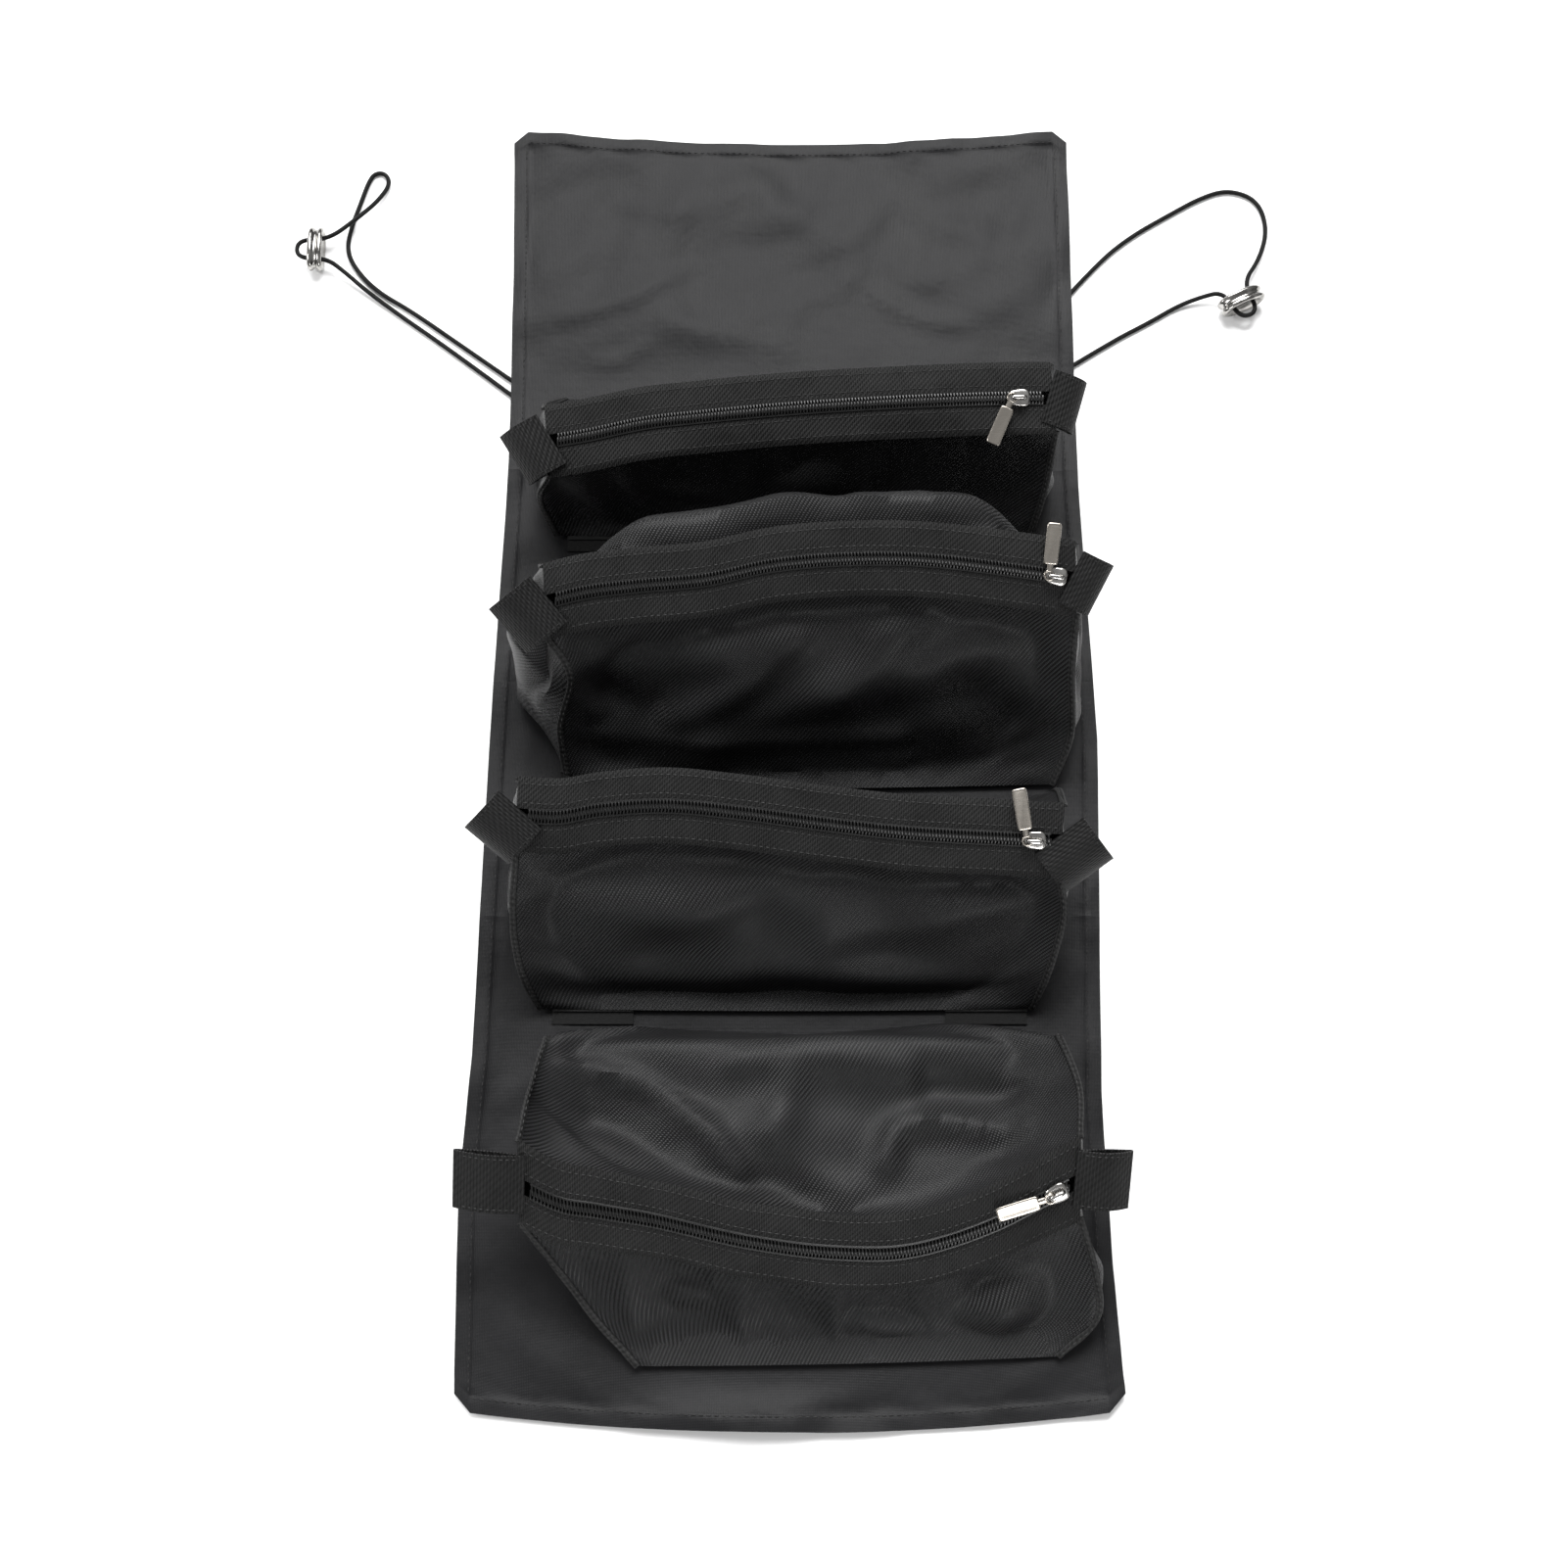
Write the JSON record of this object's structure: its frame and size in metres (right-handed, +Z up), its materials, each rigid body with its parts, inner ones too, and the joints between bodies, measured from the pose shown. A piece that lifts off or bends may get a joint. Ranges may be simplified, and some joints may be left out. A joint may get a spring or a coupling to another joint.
{
  "type": "hanging toiletry bag",
  "caption": "Roll-up hanging toiletry bag laid open: a nylon panel with detachable zipped mesh pouches and an elastic cord loop with a metal stop at each side.",
  "frame": {"origin": "under the middle of the open panel, on the surface it lies on", "axes": "+X to the right, +Y up the panel to the plain top flap, +Z up out of the panel"},
  "size_m": [0.4837, 0.62, 0.0969],
  "materials": {
    "panel_cloth": "satin nylon",
    "mesh": "fine twill mesh",
    "zip_tape": "grosgrain",
    "webbing": "woven webbing",
    "zip_coil": "nylon coil",
    "loop_pile": "looped pile",
    "hook_pile": "hooked tape",
    "elastic_cord": "braided cover",
    "slider_metal": "polished",
    "puller_metal": "satin nickel",
    "stop_metal": "polished"
  },
  "bodies": {
    "panel_upper": {"panel_zone_1": "panel_cloth", "loop_patches_1": "loop_pile", "cord_left": "elastic_cord", "cord_stop_left": "stop_metal"},
    "flap": {"panel_flap": "panel_cloth", "cord_right": "elastic_cord", "cord_stop_right": "stop_metal"},
    "panel_2": {"panel_zone_2": "panel_cloth", "loop_patches_2": "loop_pile"},
    "panel_3": {"panel_zone_3": "panel_cloth", "loop_patches_3": "loop_pile"},
    "panel_4": {"panel_zone_4": "panel_cloth", "loop_patches_4": "loop_pile"},
    "pouch_1": {"hook_patches_1": "hook_pile", "front_wall_1": "mesh", "back_wall_1": "mesh", "gusset_1": "mesh", "tape_front_1": "zip_tape", "tape_back_1": "zip_tape", "coil_1": "zip_coil", "tab_left_1": "webbing", "tab_right_1": "webbing"},
    "slider_1": {"slider_1": "slider_metal"},
    "puller_1": {"puller_1": "puller_metal"},
    "pouch_2": {"hook_patches_2": "hook_pile", "front_wall_2": "mesh", "back_wall_2": "mesh", "gusset_2": "mesh", "tape_front_2": "zip_tape", "tape_back_2": "zip_tape", "coil_2": "zip_coil", "tab_left_2": "webbing", "tab_right_2": "webbing"},
    "slider_2": {"slider_2": "slider_metal"},
    "puller_2": {"puller_2": "puller_metal"},
    "pouch_3": {"hook_patches_3": "hook_pile", "front_wall_3": "mesh", "back_wall_3": "mesh", "gusset_3": "mesh", "tape_front_3": "zip_tape", "tape_back_3": "zip_tape", "coil_3": "zip_coil", "tab_left_3": "webbing", "tab_right_3": "webbing"},
    "slider_3": {"slider_3": "slider_metal"},
    "puller_3": {"puller_3": "puller_metal"},
    "pouch_4": {"hook_patches_4": "hook_pile", "front_wall_4": "mesh", "back_wall_4": "mesh", "gusset_4": "mesh", "tape_front_4": "zip_tape", "tape_back_4": "zip_tape", "coil_4": "zip_coil", "tab_left_4": "webbing", "tab_right_4": "webbing"},
    "slider_4": {"slider_4": "slider_metal"},
    "puller_4": {"puller_4": "puller_metal"}
  },
  "joints": [
    {"name": "flap_fold", "type": "hinge", "parent": "panel_upper", "child": "flap", "pos_m": [0, 0.18, 0.0024], "axis": [-1, 0, 0], "range_deg": [-98, 0]},
    {"name": "panel_fold_2", "type": "hinge", "parent": "panel_upper", "child": "panel_2", "pos_m": [0, 0.075, 0.0024], "axis": [1, 0, 0], "range_deg": [-26, 0]},
    {"name": "panel_fold_3", "type": "hinge", "parent": "panel_2", "child": "panel_3", "pos_m": [0, -0.0395, 0.0024], "axis": [1, 0, 0], "range_deg": [-45, 0]},
    {"name": "panel_fold_4", "type": "hinge", "parent": "panel_3", "child": "panel_4", "pos_m": [0, -0.1515, 0.0024], "axis": [1, 0, 0], "range_deg": [-50, 0]},
    {"name": "pouch_1_lift", "type": "slide", "parent": "panel_upper", "child": "pouch_1", "axis": [0, 0, 1], "range_m": [0, 0.03]},
    {"name": "zip_1", "type": "hinge", "parent": "pouch_1", "child": "slider_1", "pos_m": [0.11972, -1.11675, -0.4413], "axis": [0, 0.3746, -0.9272], "range_deg": [-8.55, 0]},
    {"name": "puller_1_swing", "type": "hinge", "parent": "slider_1", "child": "puller_1", "pos_m": [0.10137, 0.13184, 0.06673], "axis": [0, -0.3746, 0.9272], "range_deg": [-156, 24]},
    {"name": "pouch_2_lift", "type": "slide", "parent": "panel_2", "child": "pouch_2", "axis": [0, 0, 1], "range_m": [0, 0.03]},
    {"name": "zip_2", "type": "hinge", "parent": "pouch_2", "child": "slider_2", "pos_m": [0.03147, -0.41011, -0.18704], "axis": [0, 0.515, -0.8572], "range_deg": [-22.72, 0]},
    {"name": "puller_2_swing", "type": "hinge", "parent": "slider_2", "child": "puller_2", "pos_m": [0.1127, 0.0354, 0.08449], "axis": [0, -0.515, 0.8572], "range_deg": [-4, 176]},
    {"name": "pouch_3_lift", "type": "slide", "parent": "panel_3", "child": "pouch_3", "axis": [0, 0, 1], "range_m": [0, 0.03]},
    {"name": "zip_3", "type": "slide", "parent": "pouch_3", "child": "slider_3", "axis": [0.9988, -0.0423, -0.0244], "range_m": [-0.205, 0]},
    {"name": "puller_3_swing", "type": "hinge", "parent": "slider_3", "child": "puller_3", "pos_m": [0.10073, -0.08092, 0.06989], "axis": [0, -0.5, 0.866], "range_deg": [-13, 167]},
    {"name": "pouch_4_lift", "type": "slide", "parent": "panel_4", "child": "pouch_4", "axis": [0, 0, 1], "range_m": [0, 0.03]},
    {"name": "zip_4", "type": "hinge", "parent": "pouch_4", "child": "slider_4", "pos_m": [0.00224, -0.04926, 0.15279], "axis": [0, -0.515, 0.8572], "range_deg": [-52.86, 0]},
    {"name": "puller_4_swing", "type": "hinge", "parent": "slider_4", "child": "puller_4", "pos_m": [0.10725, -0.22882, 0.04875], "axis": [0, -0.515, 0.8572], "range_deg": [-80, 100]}
  ]
}
